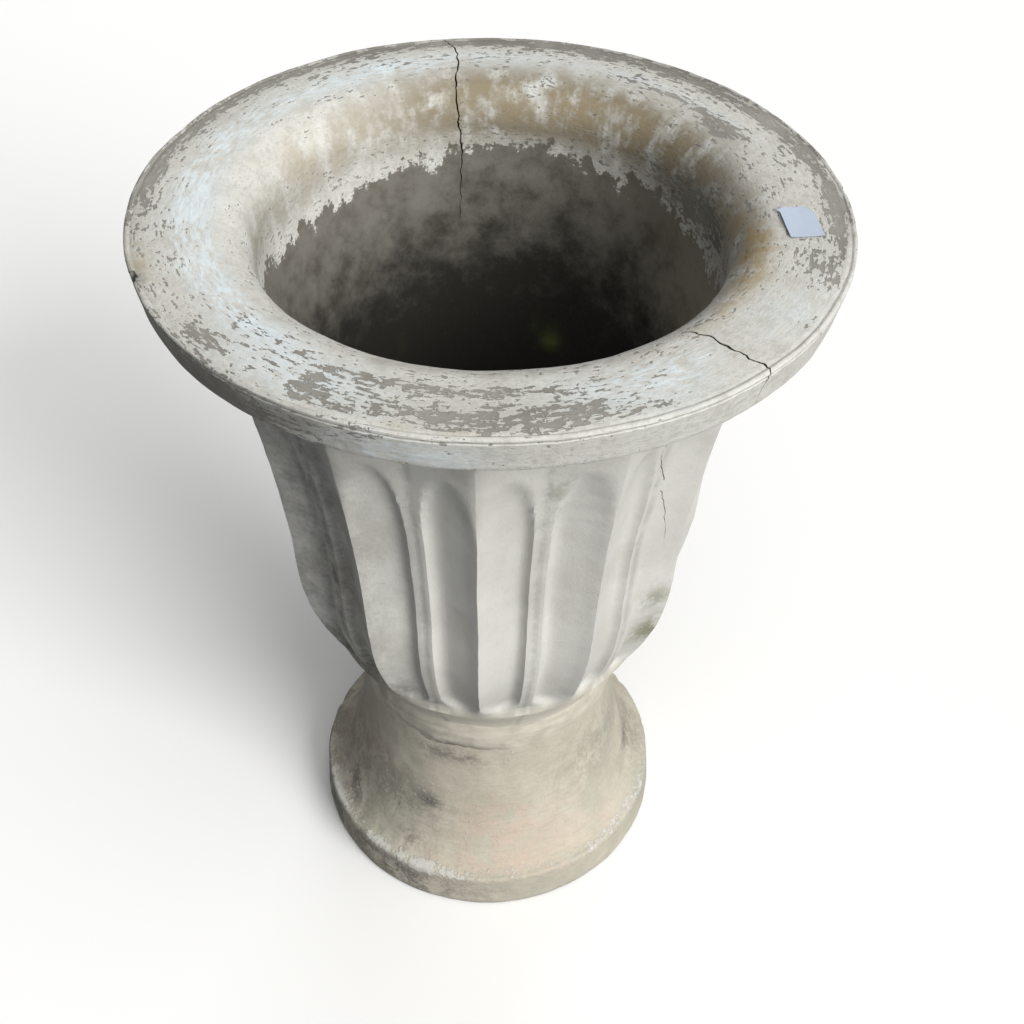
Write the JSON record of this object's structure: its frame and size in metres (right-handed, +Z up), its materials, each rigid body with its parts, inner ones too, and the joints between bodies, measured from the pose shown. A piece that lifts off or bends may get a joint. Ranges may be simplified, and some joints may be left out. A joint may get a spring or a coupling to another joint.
{
  "type": "garden urn planter",
  "caption": "Campana garden urn: deep bowl with folded, fluted leaves and a broad rolled rim, bedded in mortar on a round hollow foot.",
  "frame": {"origin": "centre of the foot's resting face, on the ground", "axes": "+Z up along the urn's axis; -Y is the front, from which the urn is seen"},
  "size_m": [0.5598, 0.5598, 0.7307],
  "materials": {
    "bowl_body": "matte",
    "foot_body": "matte",
    "mortar": "matte",
    "label_paper": "matte"
  },
  "bodies": {
    "root": {"bowl": "bowl_body", "foot": "foot_body", "mortar_bed": "mortar", "paper_label": "label_paper"}
  },
  "joints": []
}
